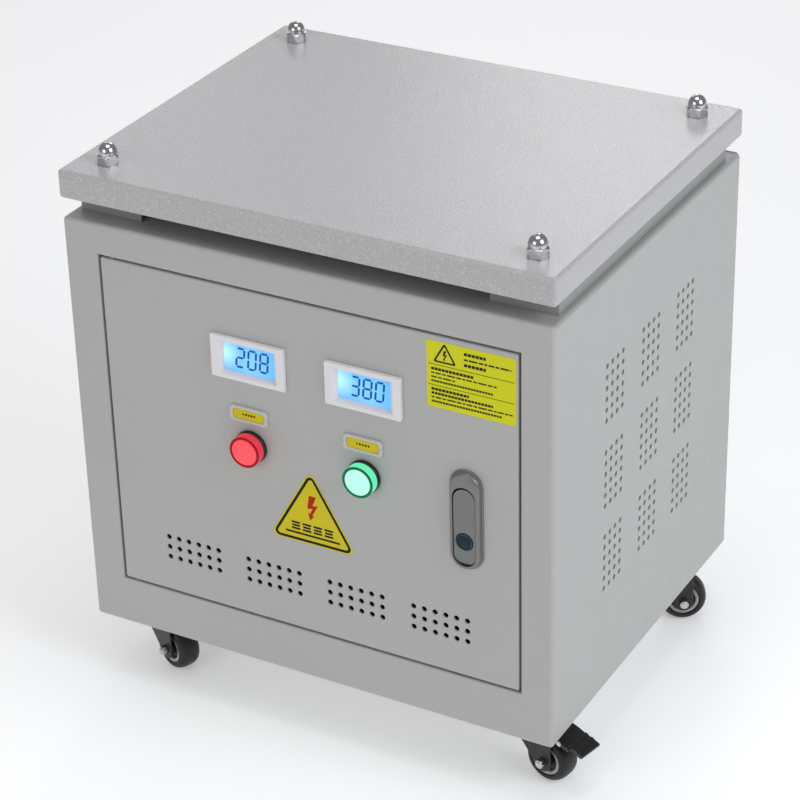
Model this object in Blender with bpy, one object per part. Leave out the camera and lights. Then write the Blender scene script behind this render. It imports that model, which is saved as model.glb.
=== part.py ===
# Three-phase transformer cabinet on casters: a folded steel case with a raised lid, a flush door
# carrying two meters, two pilot lamps and a flip latch, the transformer inside, and four casters.
# Metres, +Z up, front of the cabinet towards -Y, origin on the floor under the middle of the box.
import bpy
import bmesh
import math
from mathutils import Vector

MM = 0.001

# ---- driving dimensions (mm) ------------------------------------------------------------------
WIDTH, DEPTH, HEIGHT = 450.0, 362.0, 389.2       # case, without casters and lid
SHEET = 2.0                                      # steel thickness
GAP = 0.3                                        # clearance kept between fixed neighbours
CASTER_H = 63.0                                  # floor to underside of the case
LID_GAP, LID_H = 16.3, 25.2                      # air gap under the lid, height of its skirt
LID_X, LID_Y = 226.2, 180.7                      # half sizes of the lid
COLLAR_X, COLLAR_Y = 219.0, 161.0                # half sizes of the collar that carries the lid
COLLAR_SLOT = 160.0                              # half length of the collar's air slot
NUT_X, NUT_Y, NUT_FLATS, NUT_H = 196.0, 150.5, 17.0, 18.0   # cap nuts on the lid

OPEN_X = (-192.5, 196.4)                         # door opening, left and right
OPEN_Z = (46.4, 361.5)                           # door opening above the case's underside
DOOR_GAP, DOOR_T = 2.0, 18.0                     # gap all round the door, depth of its folds
JAMB_D, LIP = 26.0, 10.0                         # depth of the opening's folds, width of its stop
PIVOT_IN, PIVOT_BACK, PIN_R = 10.0, 5.0, 2.5     # hinge axis from the door's edge and face

METER_X, METER_Z = (-50.2, 57.2), 296.0
METER_W, METER_H, METER_PROUD = 68.8, 38.4, 4.2
LCD_W, LCD_H = 48.0, 25.0
LABEL_X, LABEL_Z, LABEL_W, LABEL_H = (-52.3, 55.3), 245.1, 36.0, 14.5
LAMP_X, LAMP_Z, LENS_R, LAMP_PROUD = (-51.6, 55.5), 216.0, 14.0, 13.0
LATCH_X, LATCH_Z, LATCH_W, LATCH_H, LATCH_PROUD = 148.7, 200.5, 30.0, 92.0, 6.0
HANDLE_W, HANDLE_TOP, HANDLE_PIVOT, HANDLE_R = 19.5, 231.2, 167.7, 5.0
BUTTON_Z, BUTTON_R = 181.9, 7.6
VENT_R, VENT_PITCH, VENT_TOP = 2.2, 10.0, 102.8
VENT_GROUPS = (-116.7, -36.6, 43.0, 122.7)

CORE_Y, CORE_Z0, CORE_W, CORE_H, CORE_D, LEG = 10.0, 34.0, 300.0, 250.0, 90.0, 50.0
COIL_BUILD = 35.0
GLAND_X, GLAND_Z, GLAND_PROUD, GLAND_BORE = (-62.0, 62.0), 70.0, 24.0, 7.0

SWIVEL_X, SWIVEL_Y, TRAIL = 186.0, (132.2, 130.8), 18.0
WHEEL_R, WHEEL_SIDES = 21.5, 24
CASTERS = {                                      # corner: side, front/rear, heading, brake
    "fr": (1, -1, -12.4, True),
    "fl": (-1, -1, -23.0, False),
    "rr": (1, 1, 30.0, False),
    "rl": (-1, 1, 167.6, True),
}

FRONT = -DEPTH / 2
BASE = CASTER_H                                  # z of the case's underside
Y_CENTRE = (DEPTH / 2 + GLAND_PROUD + FRONT - LAMP_PROUD) / 2


# ---- modelling helpers ------------------------------------------------------------------------
def material(name, colour, roughness, metallic=0.0, emission=0.0):
    mat = bpy.data.materials.new(name)
    mat.use_nodes = True
    shader = mat.node_tree.nodes["Principled BSDF"]
    shader.inputs["Base Color"].default_value = (*colour, 1.0)
    shader.inputs["Roughness"].default_value = roughness
    shader.inputs["Metallic"].default_value = metallic
    if emission:
        shader.inputs["Emission Color"].default_value = (*colour, 1.0)
        shader.inputs["Emission Strength"].default_value = emission
    mat.diffuse_color = (*colour, 1.0)
    return mat


def empty(name, at, parent=None, turn=0.0):
    pivot = bpy.data.objects.new(name, None)
    bpy.context.collection.objects.link(pivot)
    pivot.location = Vector(at) * MM
    pivot.rotation_euler[2] = math.radians(turn)
    pivot.parent = parent
    return pivot


def solid(name, bm, mat=None, parent=None, origin=(0, 0, 0)):
    """Turn a bmesh drawn in mm in the parent's frame into an object with its origin at origin."""
    bmesh.ops.recalc_face_normals(bm, faces=bm.faces)
    for v in bm.verts:
        v.co = (v.co - Vector(origin)) * MM
    mesh = bpy.data.meshes.new(name)
    bm.to_mesh(mesh)
    bm.free()
    mesh.shade_smooth()
    mesh.set_sharp_from_angle(angle=math.radians(35))
    obj = bpy.data.objects.new(name, mesh)
    bpy.context.collection.objects.link(obj)
    obj.location = Vector(origin) * MM
    obj.parent = parent
    if mat:
        mesh.materials.append(mat)
    return obj


def box_mesh(lo, hi, bm=None):
    bm = bm or bmesh.new()
    made = bmesh.ops.create_cube(bm, size=1.0)["verts"]
    for v in made:
        v.co = Vector([(a + b) / 2 + c * (b - a) for a, b, c in zip(lo, hi, v.co)])
    return bm


def prism_mesh(outline, low, high, axis="Y", bm=None):
    """Extrude a closed outline: (x, z) pairs along Y, or (u, z) pairs along Y of a caster."""
    bm = bm or bmesh.new()
    put = {"Y": lambda a, b, t: (a, t, b), "X": lambda a, b, t: (t, a, b),
           "Z": lambda a, b, t: (a, b, t)}[axis]
    near = [bm.verts.new(put(a, b, low)) for a, b in outline]
    far = [bm.verts.new(put(a, b, high)) for a, b in outline]
    count = len(outline)
    bm.faces.new(near)
    bm.faces.new(far[::-1])
    for i in range(count):
        j = (i + 1) % count
        bm.faces.new((near[i], near[j], far[j], far[i]))
    return bm


def turned_mesh(profile, centre, axis="Z", sides=24, ring=False, turn=0.0, bm=None):
    """Turn (radius, along[, flats]) points about an axis; ring=True closes the profile itself."""
    bm = bm or bmesh.new()
    put = {"Z": lambda a, b, t: (a, b, t), "Y": lambda a, b, t: (a, t, b),
           "X": lambda a, b, t: (t, a, b)}[axis]
    rows = []
    for point in profile:
        radius, along = point[0], point[1]
        if radius == 0:
            rows.append([bm.verts.new(Vector(centre) + Vector(put(0, 0, along)))])
            continue
        row = []
        for i in range(sides):
            angle = 2 * math.pi * i / sides + turn
            r = radius
            if len(point) > 2:
                sector = (angle % (math.pi / 3)) - math.pi / 6
                r = radius / math.cos(sector)
            row.append(bm.verts.new(Vector(centre) + Vector(
                put(r * math.cos(angle), r * math.sin(angle), along))))
        rows.append(row)
    pairs = list(zip(rows, rows[1:])) + ([(rows[-1], rows[0])] if ring else [])
    for a, b in pairs:
        for i in range(sides):
            j = (i + 1) % sides
            corners = [a[i % len(a)], a[j % len(a)], b[j % len(b)], b[i % len(b)]]
            bm.faces.new(list(dict.fromkeys(corners)))
    return bm


def combine(obj, cutters, operation="DIFFERENCE"):
    """Apply exact Booleans with the given bmeshes, drawn in the same mm frame as obj's mesh."""
    offset = obj.location.copy()
    for bm in cutters:
        tool = solid("cutter", bm)
        tool.hide_render = True
        tool.display_type = "WIRE"
        step = obj.modifiers.new("shape", "BOOLEAN")
        step.solver = "EXACT"
        step.operation = operation
        step.object = tool
        parent, obj.parent = obj.parent, None
        bpy.context.view_layer.update()
        graph = bpy.context.evaluated_depsgraph_get()
        mesh = bpy.data.meshes.new_from_object(obj.evaluated_get(graph))
        obj.modifiers.clear()
        obj.data = mesh
        obj.parent = parent
        obj.location = offset
        bpy.data.objects.remove(tool)
    return obj


def rounded(width, height, radius, steps=6, centre=(0.0, 0.0)):
    """Outline of a rectangle with round corners."""
    points = []
    for quadrant in range(4):
        cx = (width / 2 - radius) * (1 if quadrant in (0, 3) else -1)
        cy = (height / 2 - radius) * (1 if quadrant in (0, 1) else -1)
        for i in range(steps + 1):
            angle = math.pi / 2 * (quadrant + i / steps)
            points.append((centre[0] + cx + radius * math.cos(angle),
                           centre[1] + cy + radius * math.sin(angle)))
    tidy = [p for i, p in enumerate(points)
            if math.dist(p, points[i - 1]) > 1e-6]
    return tidy


# ---- cabinet ----------------------------------------------------------------------------------
def cabinet(root, paint, chrome):
    half, z0, z1 = WIDTH / 2, BASE, BASE + HEIGHT
    inner = half - SHEET - GAP
    back = DEPTH / 2

    frame = solid("front_frame", box_mesh((-half, FRONT, z0), (half, FRONT + SHEET, z1)),
                  paint, root)
    x0, x1 = OPEN_X
    a, b = z0 + OPEN_Z[0], z0 + OPEN_Z[1]
    combine(frame, [box_mesh((x0 - SHEET, FRONT + SHEET / 2, a - SHEET),
                             (x1 + SHEET, FRONT + JAMB_D, b + SHEET))], "UNION")
    pivot_x = x0 + DOOR_GAP + PIVOT_IN
    pivot_y = FRONT + PIVOT_BACK
    holes = turned_mesh([(0, a - SHEET - 3), (PIN_R + GAP, a - SHEET - 3),
                         (PIN_R + GAP, b + SHEET + 3), (0, b + SHEET + 3)],
                        (pivot_x, pivot_y, 0), sides=16)
    combine(frame, [
        box_mesh((x0, FRONT - 5, a), (x1, FRONT + JAMB_D - SHEET, b)),
        box_mesh((x0 + LIP, FRONT, a + LIP), (x1 - LIP, FRONT + JAMB_D + 5, b - LIP)),
        holes,
    ])

    for name, side in (("side_panel_left", -1), ("side_panel_right", 1)):
        xs = sorted((side * half, side * (half - SHEET)))
        solid(name, box_mesh((xs[0], FRONT + SHEET + GAP, z0), (xs[1], back, z1)), paint, root)

    rear = solid("rear_panel", box_mesh((-inner, back - SHEET, z0), (inner, back, z1)),
                 paint, root)
    combine(rear, [turned_mesh([(0, back - 9), (12.5 + GAP, back - 9), (12.5 + GAP, back + 9),
                                (0, back + 9)], (x, 0, z0 + GLAND_Z), "Y", 16)
                   for x in GLAND_X])

    front_in, back_in = FRONT + SHEET + GAP, back - SHEET - GAP
    solid("base_tray", box_mesh((-inner, front_in, z0), (inner, back_in, z0 + 2.5)), paint, root)

    top = solid("top_frame", box_mesh((-inner, front_in, z1 - SHEET), (inner, back_in, z1)),
                paint, root)
    combine(top, [box_mesh((-COLLAR_X + 14, -COLLAR_Y + 14, z1 - 9),
                           (COLLAR_X - 14, COLLAR_Y - 14, z1 + 9))])

    lid0 = z1 + LID_GAP
    collar = solid("top_collar", box_mesh((-COLLAR_X, -COLLAR_Y, z1 + GAP),
                                          (COLLAR_X, COLLAR_Y, lid0 + LID_H - SHEET - GAP)),
                   paint, root)
    combine(collar, [
        box_mesh((-COLLAR_X + SHEET, -COLLAR_Y + SHEET, z1 - 5),
                 (COLLAR_X - SHEET, COLLAR_Y - SHEET, lid0 + LID_H + 5)),
        box_mesh((-COLLAR_SLOT, -COLLAR_Y - 5, z1 - 5),
                 (COLLAR_SLOT, COLLAR_Y + 5, lid0 + LID_H - 8)),
    ])

    lid = solid("top_cover", box_mesh((-LID_X, -LID_Y, lid0), (LID_X, LID_Y, lid0 + LID_H)),
                paint, root)
    combine(lid, [box_mesh((-LID_X + SHEET, -LID_Y + SHEET, lid0 - 5),
                           (LID_X - SHEET, LID_Y - SHEET, lid0 + LID_H - SHEET))])

    nut_z = lid0 + LID_H + GAP
    flat = NUT_FLATS / 2
    dome = flat * 0.94
    profile = [(0, nut_z), (flat * 0.98, nut_z, 1), (flat, nut_z + 1.0, 1),
               (flat, nut_z + 7.5, 1), (dome + 0.3, nut_z + 8.6), (dome, nut_z + 10.0)]
    for i in range(1, 5):
        lift = math.pi / 2 * i / 5
        profile.append((dome * math.cos(lift), nut_z + 10.0 + dome * math.sin(lift)))
    profile.append((0, nut_z + NUT_H))
    for name, sx, sy in (("fl", -1, -1), ("fr", 1, -1), ("rl", -1, 1), ("rr", 1, 1)):
        at = (sx * NUT_X, sy * NUT_Y, 0)
        solid("cap_nut_" + name, turned_mesh(profile, at, sides=24), chrome, root,
              (at[0], at[1], nut_z))


def cable_glands(root, plastic):
    back, z = DEPTH / 2, BASE + GLAND_Z
    for name, x in (("left", GLAND_X[0]), ("right", GLAND_X[1])):
        profile = [(GLAND_BORE, back - 14.0), (12.5, back - 14.0), (12.5, back + GAP),
                   (16.0, back + GAP, 1), (16.0, back + 6.0, 1), (13.0, back + 7.0),
                   (13.0, back + 9.0), (15.0, back + 9.5, 1), (15.0, back + 19.0, 1),
                   (10.0, back + GLAND_PROUD), (GLAND_BORE, back + GLAND_PROUD)]
        solid("cable_gland_" + name, turned_mesh(profile, (x, 0, z), "Y", 24, ring=True),
              plastic, root, (x, back, z))


# ---- transformer ------------------------------------------------------------------------------
def transformer(root, iron, copper, paint, plastic):
    z0 = BASE + CORE_Z0
    y0, y1 = CORE_Y - CORE_D / 2, CORE_Y + CORE_D / 2
    pitch = (CORE_W - LEG) / 2
    core = solid("transformer_core", box_mesh((-CORE_W / 2, y0, z0), (CORE_W / 2, y1, z0 + CORE_H)),
                 iron, root)
    windows = [box_mesh((x - pitch / 2 + LEG / 2, y0 - 5, z0 + LEG),
                        (x + pitch / 2 - LEG / 2, y1 + 5, z0 + CORE_H - LEG))
               for x in (-pitch / 2, pitch / 2)]
    combine(core, windows)
    for name, x in (("a", -pitch), ("b", 0.0), ("c", pitch)):
        wide, deep = LEG + 2 * COIL_BUILD, CORE_D + 2 * COIL_BUILD
        outline = rounded(wide, deep, 16.0, 4, (x, CORE_Y))
        coil = solid("coil_" + name, prism_mesh(outline, z0 + LEG + 4, z0 + CORE_H - LEG - 4, "Z"),
                     copper, root)
        combine(coil, [box_mesh((x - LEG / 2 - 1, y0 - 1, z0), (x + LEG / 2 + 1, y1 + 1,
                                                               z0 + CORE_H))])
    foot = BASE + 2.5 + GAP
    for name, y in (("front", y0 - 14.0), ("rear", y1 + 14.0)):
        lo, hi = sorted((y, y + (14.0 - GAP if name == "front" else -14.0 + GAP)))
        solid("core_clamp_" + name, box_mesh((-CORE_W / 2 - 12, lo, foot),
                                             (CORE_W / 2 + 12, hi, z0 + LEG - 8)), paint, root)
    block = solid("terminal_block", box_mesh((-110, FRONT + 48, foot), (110, FRONT + 78, foot + 34)),
                  plastic, root)
    combine(block, [box_mesh((-99 + 33 * i, FRONT + 40, foot + 16), (-76 + 33 * i, FRONT + 60,
                                                                    foot + 50))
                    for i in range(6)])


# ---- door -------------------------------------------------------------------------------------
def door(root, paint, steel):
    x0, x1 = OPEN_X[0] + DOOR_GAP, OPEN_X[1] - DOOR_GAP
    z0, z1 = BASE + OPEN_Z[0] + DOOR_GAP, BASE + OPEN_Z[1] - DOOR_GAP
    axis = (x0 + PIVOT_IN, FRONT + PIVOT_BACK, z0)
    hinge = empty("door_hinge_axis", axis, root)

    def local(bm):
        for v in bm.verts:
            v.co -= Vector(axis)
        return bm

    panel = solid("door_panel", local(box_mesh((x0, FRONT, z0), (x1, FRONT + DOOR_T, z1))),
                  paint, hinge)
    vents = bmesh.new()
    for middle in VENT_GROUPS:
        for column in range(6):
            for row in range(3):
                x = middle + (column - 2.5) * VENT_PITCH
                z = BASE + VENT_TOP - row * VENT_PITCH
                turned_mesh([(0, FRONT - 3), (VENT_R, FRONT - 3), (VENT_R, FRONT + 4),
                             (0, FRONT + 4)], (x, 0, z), "Y", 6, bm=vents)
    fittings = bmesh.new()
    for x in METER_X:
        box_mesh((x - 32.5, FRONT - 3, BASE + METER_Z - 18), (x + 32.5, FRONT + 4,
                                                             BASE + METER_Z + 18), fittings)
    for x in LAMP_X:
        turned_mesh([(0, FRONT - 3), (11.0, FRONT - 3), (11.0, FRONT + 4), (0, FRONT + 4)],
                    (x, 0, BASE + LAMP_Z), "Y", 20, bm=fittings)
    prism_mesh(latch_outline(2.5), FRONT - 3, FRONT + 4, bm=fittings)
    pins = turned_mesh([(0, z0 - 4), (PIN_R + GAP, z0 - 4), (PIN_R + GAP, z1 + 4), (0, z1 + 4)],
                       (axis[0], axis[1], 0), sides=16)
    combine_at = [
        box_mesh((x0 + SHEET, FRONT + SHEET, z0 + SHEET), (x1 - SHEET, FRONT + DOOR_T + 4,
                                                         z1 - SHEET)),
        box_mesh((x1 - 9, FRONT + 9.6, BASE + LATCH_Z - 7), (x1 + 4, FRONT + 16.2,
                                                            BASE + LATCH_Z + 7)),
        pins, fittings, vents,
    ]
    combine(panel, [local(bm) for bm in combine_at])

    for name, low, high in (("top", z1 - 9.0, z1 + DOOR_GAP + SHEET + 2.0),
                            ("bottom", z0 - DOOR_GAP - SHEET - 2.0, z0 + 9.0)):
        profile = [(0, low), (PIN_R - 0.4, low), (PIN_R, low + 0.4), (PIN_R, high - 0.4),
                   (PIN_R - 0.4, high), (0, high)]
        solid("hinge_pin_" + name, turned_mesh(profile, (axis[0], axis[1], 0), sides=16),
              steel, root, (axis[0], axis[1], low))
    return hinge, local


def meters(hinge, local, white, glass):
    for name, x in (("left", METER_X[0]), ("right", METER_X[1])):
        z = BASE + METER_Z
        face = FRONT - METER_PROUD
        bezel = solid("meter_bezel_" + name, local(prism_mesh(
            rounded(METER_W, METER_H, 2.0, 3, (x, z)), face, FRONT - GAP)), white, hinge)
        combine(bezel, [local(box_mesh((x - 32, FRONT - 1.5, z - 17.5), (x + 32, FRONT + 30,
                                                                       z + 17.5)))], "UNION")
        combine(bezel, [local(box_mesh((x - LCD_W / 2, face - 3, z - LCD_H / 2),
                                       (x + LCD_W / 2, face + 3.0, z + LCD_H / 2)))])
        solid("meter_lcd_" + name, local(box_mesh(
            (x - LCD_W / 2 + GAP, face + 0.9, z - LCD_H / 2 + GAP),
            (x + LCD_W / 2 - GAP, face + 3.0 - GAP, z + LCD_H / 2 - GAP))), glass, hinge)


def label_holders(hinge, local, plastic):
    for name, x in (("left", LABEL_X[0]), ("right", LABEL_X[1])):
        solid("label_holder_" + name, local(prism_mesh(
            rounded(LABEL_W, LABEL_H, 1.2, 2, (x, BASE + LABEL_Z)), FRONT - 2.1, FRONT - GAP)),
            plastic, hinge)


def lamps(hinge, local, black, colours):
    for name, x, lens_mat in (("red", LAMP_X[0], colours[0]), ("green", LAMP_X[1], colours[1])):
        z = BASE + LAMP_Z
        body = [(0, FRONT + 38), (10.7, FRONT + 38), (10.7, FRONT - GAP), (14.6, FRONT - GAP),
                (14.6, FRONT - 3.2), (14.1, FRONT - 4.0), (0, FRONT - 4.0)]
        solid("lamp_body_" + name, local(turned_mesh(body, (x, 0, z), "Y", 20)), black, hinge)
        top = FRONT - LAMP_PROUD
        lens = [(0, FRONT - 4.0 - GAP), (LENS_R, FRONT - 4.0 - GAP), (LENS_R, top + 2.2),
                (LENS_R - 0.8, top + 0.7), (LENS_R - 2.6, top), (0, top)]
        solid("lamp_lens_" + name, local(turned_mesh(lens, (x, 0, z), "Y", 24)), lens_mat, hinge)


def latch_outline(grow):
    """Outline of the handle's pocket: square foot, round head with room for a fingertip."""
    half = HANDLE_W / 2 + 0.8 + grow
    low = BASE + HANDLE_PIVOT - HANDLE_R - 1.2 - grow
    head = BASE + HANDLE_TOP + 2.0 + grow - half
    points = [(LATCH_X - half, low + 1.0), (LATCH_X - half + 1.0, low),
              (LATCH_X + half - 1.0, low), (LATCH_X + half, low + 1.0)]
    return points + [(LATCH_X + half * math.cos(math.pi * i / 10),
                      head + half * math.sin(math.pi * i / 10)) for i in range(11)]


def latch(hinge, local, chrome, grey, teal, steel):
    zc = BASE + LATCH_Z
    shell = solid("latch_housing", local(prism_mesh(
        rounded(LATCH_W, LATCH_H, LATCH_W / 2 - 0.01, 8, (LATCH_X, zc)),
        FRONT - LATCH_PROUD, FRONT - GAP)), chrome, hinge)
    combine(shell, [local(prism_mesh(latch_outline(2.0), FRONT - 2.0, FRONT + 10))], "UNION")
    combine(shell, [local(prism_mesh(latch_outline(0.0), FRONT - LATCH_PROUD - 4, FRONT + 7.5))])

    pivot = (LATCH_X, FRONT - 2.2, BASE + HANDLE_PIVOT)
    turn = empty("latch_handle_axis", Vector(pivot) - Vector(
        (OPEN_X[0] + DOOR_GAP + PIVOT_IN, FRONT + PIVOT_BACK, BASE + OPEN_Z[0] + DOOR_GAP)), hinge)
    length = HANDLE_TOP - HANDLE_PIVOT
    side = [(HANDLE_R * math.cos(a), HANDLE_R * math.sin(a)) for a in
            [-math.pi * i / 8 for i in range(9)]]
    profile = side + [(-HANDLE_R - 1.0, length * 0.45), (-HANDLE_R - 1.0, length + 2),
                      (HANDLE_R, length + 2)]
    handle = solid("latch_handle", prism_mesh(profile, -HANDLE_W / 2, HANDLE_W / 2, "X"),
                   grey, turn)
    outline = rounded(HANDLE_W, length + 3 * HANDLE_W, HANDLE_W / 2 - 0.01, 8,
                      (0.0, length - (length + 3 * HANDLE_W) / 2))
    combine(handle, [prism_mesh(outline, -20, 20)], "INTERSECT")
    rise = BUTTON_Z - HANDLE_PIVOT
    combine(handle, [turned_mesh([(0, -12), (BUTTON_R + 0.5, -12), (BUTTON_R + 0.5, 2.0), (0, 2.0)],
                                 (0, 0, rise), "Y", 24)])
    face = -HANDLE_R - 2.0
    knob = [(0, -1.5), (BUTTON_R, -1.5), (BUTTON_R, face + 0.6), (BUTTON_R - 0.6, face), (0, face)]
    solid("latch_button", turned_mesh(knob, (0, 0, rise), "Y", 24), teal, turn, (0, 0, rise))

    tip = OPEN_X[1] - DOOR_GAP
    solid("latch_bolt", local(box_mesh((LATCH_X + 4.0, FRONT + 10.6, zc - 6), (tip, FRONT + 15.4,
                                                                          zc + 6))),
          steel, hinge)


# ---- casters ----------------------------------------------------------------------------------
def caster(root, corner, black, rubber, rim, steel):
    sx, sy, heading, brake = CASTERS[corner]
    name = "caster_" + corner
    px, py = sx * SWIVEL_X, sy * SWIVEL_Y[sy > 0]
    top = CASTER_H - GAP
    plate = solid(name + "_plate", prism_mesh(rounded(44, 54, 4.0, 2, (px, py)), top - 2.5, top,
                                              "Z"), black, root)
    combine(plate, [turned_mesh([(0, top - 8.2), (15.5, top - 8.2), (17.0, top - 4.0),
                                 (17.0, top - 1.5), (0, top - 1.5)], (px, py, 0), sides=20)],
            "UNION")

    swivel = empty(name + "_swivel_axis", (px, py, 0), root, heading)
    crown = top - 8.2 - GAP
    arc = [(TRAIL + 9.0 * math.cos(a), WHEEL_R + 9.0 * math.sin(a)) for a in
           [math.radians(192 + 158 * i / 6) for i in range(7)]]
    outline = [(-18.0, crown), (-18.0, crown - 5.0)] + arc + [(26.0, crown - 7.0), (21.0, crown)]
    outer, inside = 14.2, 12.0
    fork = solid(name + "_fork", prism_mesh(outline, -outer, outer), black, swivel)
    combine(fork, [
        box_mesh((-30, -inside, -5), (50, inside, crown - 3.0)),
        turned_mesh([(0, -30), (2.8, -30), (2.8, 30), (0, 30)], (TRAIL, 0, WHEEL_R), "Y", 12),
    ])
    end = outer + GAP
    shaft = [(0, -end - 5.4), (3.0, -end - 5.4), (3.8, -end - 4.6, 1), (3.8, -end, 1),
             (2.5, -end), (2.5, end), (3.8, end, 1), (3.8, end + 4.6, 1), (3.0, end + 5.4),
             (0, end + 5.4)]
    solid(name + "_axle", turned_mesh(shaft, (TRAIL, 0, WHEEL_R), "Y", 12), steel, swivel,
          (TRAIL, 0, WHEEL_R))
    facet = math.pi / WHEEL_SIDES
    hub = [(2.8, -10.8), (6.0, -10.8), (6.6, -7.0), (10.8, -7.0), (11.6, -9.4), (14.0, -9.4),
           (14.0, 9.4), (11.6, 9.4), (10.8, 7.0), (6.6, 7.0), (6.0, 10.8), (2.8, 10.8)]
    solid(name + "_hub", turned_mesh(hub, (TRAIL, 0, WHEEL_R), "Y", WHEEL_SIDES, True, facet),
          rim, swivel, (TRAIL, 0, WHEEL_R))
    tread = WHEEL_R / math.cos(facet)
    tyre = [(14.3, -9.6), (15.6, -10.6), (18.0, -10.2), (20.2, -8.0), (tread, -4.5),
            (tread, 4.5), (20.2, 8.0), (18.0, 10.2), (15.6, 10.6), (14.3, 9.6)]
    solid(name + "_tyre", turned_mesh(tyre, (TRAIL, 0, WHEEL_R), "Y", WHEEL_SIDES, True, facet),
          rubber, swivel, (TRAIL, 0, WHEEL_R))
    if not brake:
        return
    hinge = (20.0, 0, crown - 5.5)
    z = hinge[2]
    side = [(16.5, z - 1.6), (28.5, z - 0.6), (55.5, z - 8.6), (57.4, z - 7.6), (57.6, z - 5.8),
            (56.4, z - 4.8), (34.0, z + 1.8), (27.8, z + 3.3), (27.0, z + 1.6), (16.5, z + 1.6)]
    half, neck = 13.6, 10.6
    pedal = solid(name + "_brake_pedal", prism_mesh(side, -half, half), black, swivel, hinge)
    combine(pedal, [box_mesh((10.0, lo, z - 20), (27.6, hi, z + 20))
                    for lo, hi in ((-30.0, -neck), (neck, 30.0))])


def build():
    for obj in list(bpy.data.objects):
        bpy.data.objects.remove(obj)
    root = empty("cabinet_centre", (0, -Y_CENTRE, 0))
    paint = material("light_grey_paint", (0.45, 0.46, 0.455), 0.42)
    chrome = material("polished_chrome", (0.75, 0.75, 0.76), 0.12, 1.0)
    steel = material("zinc_steel", (0.55, 0.56, 0.57), 0.3, 1.0)
    iron = material("core_laminations", (0.12, 0.12, 0.13), 0.55, 0.6)
    copper = material("coil_winding", (0.42, 0.14, 0.06), 0.45)
    black = material("black_plastic", (0.012, 0.012, 0.013), 0.45)
    caster_black = material("caster_black_steel", (0.010, 0.010, 0.011), 0.38, 0.2)
    rubber = material("tyre_rubber", (0.010, 0.010, 0.011), 0.55)
    rim = material("caster_rim_grey", (0.35, 0.35, 0.33), 0.5)
    white = material("meter_white_plastic", (0.70, 0.72, 0.72), 0.4)
    lcd = material("meter_backlit_lcd", (0.16, 0.55, 0.85), 0.15, 0.0, 1.0)
    holder = material("label_clear_plastic", (0.75, 0.70, 0.30), 0.15)
    red = material("lamp_red_lens", (0.60, 0.02, 0.02), 0.15)
    green = material("lamp_green_lens", (0.02, 0.38, 0.08), 0.15)
    handle = material("latch_grey_metal", (0.50, 0.51, 0.52), 0.3, 0.6)
    teal = material("latch_button_blue", (0.02, 0.10, 0.14), 0.3)

    cabinet(root, paint, chrome)
    cable_glands(root, black)
    transformer(root, iron, copper, paint, black)
    hinge, local = door(root, paint, steel)
    meters(hinge, local, white, lcd)
    label_holders(hinge, local, holder)
    lamps(hinge, local, black, (red, green))
    latch(hinge, local, chrome, handle, teal, steel)
    for corner in CASTERS:
        caster(root, corner, caster_black, rubber, rim, steel)
    bpy.context.view_layer.update()


build()
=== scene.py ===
# Looks for the transformer cabinet: folded sheet-metal case, raised lid, door fittings, casters.
# Lengths are in mm in the cabinet's own frame (front face at FRONT) until piece() places them.
import bpy
import bmesh
import math
from mathutils import Matrix, Vector


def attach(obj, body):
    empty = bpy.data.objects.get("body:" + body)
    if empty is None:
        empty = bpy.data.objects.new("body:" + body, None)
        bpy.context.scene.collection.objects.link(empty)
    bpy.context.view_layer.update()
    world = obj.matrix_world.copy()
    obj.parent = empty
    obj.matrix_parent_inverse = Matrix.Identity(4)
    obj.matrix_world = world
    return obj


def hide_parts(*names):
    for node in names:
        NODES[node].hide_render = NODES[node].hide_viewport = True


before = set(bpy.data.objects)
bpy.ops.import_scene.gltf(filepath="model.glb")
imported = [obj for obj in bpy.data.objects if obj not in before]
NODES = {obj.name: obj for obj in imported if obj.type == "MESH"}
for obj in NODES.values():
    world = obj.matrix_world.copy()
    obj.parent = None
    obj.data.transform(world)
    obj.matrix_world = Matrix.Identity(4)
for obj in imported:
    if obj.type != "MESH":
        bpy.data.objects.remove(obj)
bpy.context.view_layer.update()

MM = 0.001
Y_SHIFT = -5.5                       # from the cabinet's own frame to the shared one
FRONT, BACK, HALF = -181.0, 182.6, 225.0
CASE_Z = (63.0, 452.2)
CASE_MIDDLE = sum(CASE_Z) / 2
LID_X, LID_Y, LID_Z = (-226.8, 225.7), (-180.6, 180.8), (468.5, 493.7)
SHEET, DOOR_SHEET = 2.0, 1.6
NUT_X, NUT_Y = 196.0, 150.5
GLAND_X, GLAND_Z = 62.0, 133.0
VENT_R, VENT_PITCH = 2.5, 10.0
SIDE_VENT_R = VENT_R - 0.1
SIDE_VENT_Y, SIDE_VENT_Z = (-69.5, 0.0, 69.5), (348.8, 269.3, 189.6)
DOOR_VENT_X, DOOR_VENT_TOP = (-116.7, -36.6, 43.0, 122.7), 165.8
DOOR_X, DOOR_Z, DOOR_GAP = (-190.5, 194.4), (111.4, 422.5), 2.0


# ---- camera -------------------------------------------------------------------------------------
CAMERA_AT = (1.0157, -1.8177, 1.3964)        # metres, in the shared frame
CAMERA_TURN = (29.575, 28.980, -1.469)       # azimuth, elevation and roll in degrees
LENS, SENSOR = 122.247, 36.0


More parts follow.
